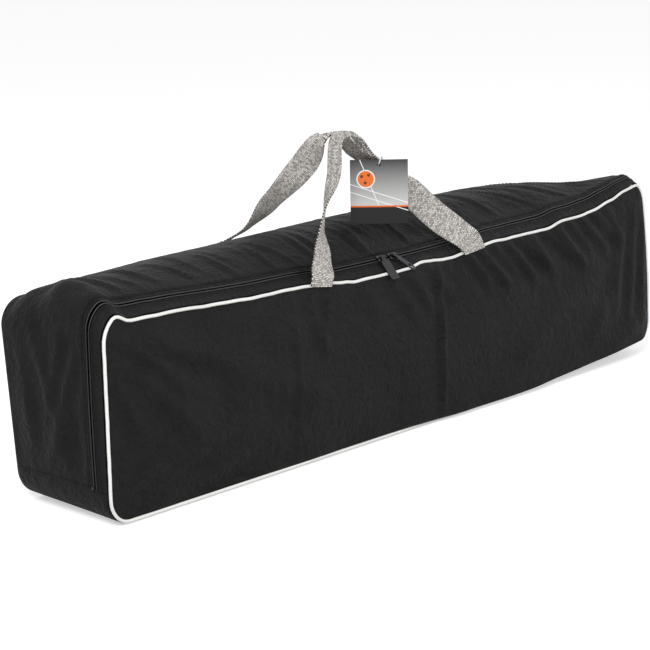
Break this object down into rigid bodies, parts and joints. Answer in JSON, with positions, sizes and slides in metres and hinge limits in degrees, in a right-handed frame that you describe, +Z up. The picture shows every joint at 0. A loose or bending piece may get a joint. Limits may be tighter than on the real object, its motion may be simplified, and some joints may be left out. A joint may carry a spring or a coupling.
{
  "type": "portable racket sports net in a carry bag",
  "caption": "Long zipped black carry bag with white piping, two webbing handles and a hang tag, holding a packed free-standing net frame and rolled net.",
  "frame": {"origin": "centre of the bounding box at the surface that the bag stands on", "axes": "+X along the bag to the right of someone who faces the zipped front, -Y out of the front, +Z up"},
  "size_m": [1.04, 0.1758, 0.3777],
  "materials": {
    "black_fabric": "coated woven polyester, low sheen",
    "white_piping": "satin piping tape over a cord",
    "black_tape": "matt woven zip tape, coil and hook and loop",
    "dark_metal": "dark plated zinc",
    "grey_webbing": "flat woven polypropylene webbing",
    "tag_card": "coated card",
    "white_cord": "thin twisted cord",
    "tube_steel": "black powder coat",
    "button_steel": "bright plated",
    "black_plastic": "moulded, fine grain",
    "net_twine": "knotless polyester net, rolled"
  },
  "bodies": {
    "bag": {"back_panel": "black_fabric", "base_panel": "black_fabric", "rear_gusset": "black_fabric", "rear_zip_tape": "black_tape", "rear_zip_coil": "black_tape", "zip_stop_left": "dark_metal", "zip_stop_right": "dark_metal", "rail_1": "tube_steel", "rail_2": "tube_steel", "rail_3": "tube_steel", "rail_4": "tube_steel", "rail_5": "tube_steel", "rail_6": "tube_steel", "centre_post": "tube_steel", "centre_post_cap": "black_plastic", "left_post": "tube_steel", "left_post_cap": "black_plastic", "right_post": "tube_steel", "right_post_cap": "black_plastic", "left_foot_bar": "tube_steel", "left_foot_cap_a": "black_plastic", "left_foot_cap_b": "black_plastic", "right_foot_bar": "tube_steel", "right_foot_cap_a": "black_plastic", "right_foot_cap_b": "black_plastic", "centre_foot_bar": "tube_steel", "centre_foot_cap_a": "black_plastic", "centre_foot_cap_b": "black_plastic", "left_tee": "black_plastic", "centre_tee": "black_plastic", "right_tee": "black_plastic", "net_roll": "net_twine", "net_tie_1": "black_tape", "net_tie_2": "black_tape"},
    "front_door": {"front_panel": "black_fabric", "front_piping": "white_piping", "front_zip_strip": "black_fabric", "front_zip_tape": "black_tape", "front_zip_coil": "black_tape"},
    "slider_left": {"slider_left": "dark_metal"},
    "slider_right": {"slider_right": "dark_metal"},
    "pull_tab_left": {"pull_tab_left": "black_plastic"},
    "pull_tab_right": {"pull_tab_right": "dark_metal"},
    "front_handle": {"front_handle": "grey_webbing", "tag_loop": "white_cord"},
    "back_handle": {"back_handle": "grey_webbing"},
    "hang_tag": {"hang_tag": "tag_card"},
    "button_1": {"button_1": "button_steel"},
    "button_2": {"button_2": "button_steel"},
    "button_3": {"button_3": "button_steel"},
    "button_4": {"button_4": "button_steel"},
    "button_5": {"button_5": "button_steel"},
    "button_6": {"button_6": "button_steel"}
  },
  "joints": [
    {"name": "front_door_hinge", "type": "hinge", "parent": "bag", "child": "front_door", "pos_m": [0, -0.0775, 0.0022], "axis": [1, 0, 0], "range_deg": [0, 85]},
    {"name": "slider_left_arc", "type": "hinge", "parent": "front_door", "child": "slider_left", "pos_m": [-0.08, -0.06226, 5.7193], "axis": [0, -1, 0], "range_deg": [-0.75, 0]},
    {"name": "slider_right_arc", "type": "hinge", "parent": "front_door", "child": "slider_right", "pos_m": [-0.08, -0.06226, 5.7193], "axis": [0, -1, 0], "range_deg": [0, 0.95]},
    {"name": "pull_tab_left_pivot", "type": "hinge", "parent": "slider_left", "child": "pull_tab_left", "pos_m": [-0.057, -0.06561, 0.22333], "axis": [1, 0, 0], "range_deg": [-150, 0]},
    {"name": "pull_tab_right_pivot", "type": "hinge", "parent": "slider_right", "child": "pull_tab_right", "pos_m": [-0.036, -0.06561, 0.22346], "axis": [1, 0, 0], "range_deg": [-150, 0]},
    {"name": "front_handle_swing", "type": "hinge", "parent": "front_door", "child": "front_handle", "pos_m": [0, -0.08212, 0.20146], "axis": [1, 0, 0], "range_deg": [0, 150]},
    {"name": "back_handle_swing", "type": "hinge", "parent": "bag", "child": "back_handle", "pos_m": [0, 0.08134, 0.22875], "axis": [1, 0, 0], "range_deg": [-140, 0]},
    {"name": "hang_tag_swing", "type": "hinge", "parent": "front_handle", "child": "hang_tag", "pos_m": [-0.05338, -0.05904, 0.335], "axis": [0.6691, -0.7431, 0], "range_deg": [-20, 12]},
    {"name": "button_1_press", "type": "slide", "parent": "bag", "child": "button_1", "axis": [0.0192, 0, -0.9998], "range_m": [0, 0.0022], "stiffness_N_per_m": 300, "springref_m": -0.001},
    {"name": "button_2_press", "type": "slide", "parent": "bag", "child": "button_2", "axis": [0.0192, 0, -0.9998], "range_m": [0, 0.0022], "stiffness_N_per_m": 300, "springref_m": -0.001},
    {"name": "button_3_press", "type": "slide", "parent": "bag", "child": "button_3", "axis": [0.0192, 0, -0.9998], "range_m": [0, 0.0022], "stiffness_N_per_m": 300, "springref_m": -0.001},
    {"name": "button_4_press", "type": "slide", "parent": "bag", "child": "button_4", "axis": [0.0192, 0, -0.9998], "range_m": [0, 0.0022], "stiffness_N_per_m": 300, "springref_m": -0.001},
    {"name": "button_5_press", "type": "slide", "parent": "bag", "child": "button_5", "axis": [0.0192, 0, -0.9998], "range_m": [0, 0.0022], "stiffness_N_per_m": 300, "springref_m": -0.001},
    {"name": "button_6_press", "type": "slide", "parent": "bag", "child": "button_6", "axis": [0.0192, 0, -0.9998], "range_m": [0, 0.0022], "stiffness_N_per_m": 300, "springref_m": -0.001}
  ]
}
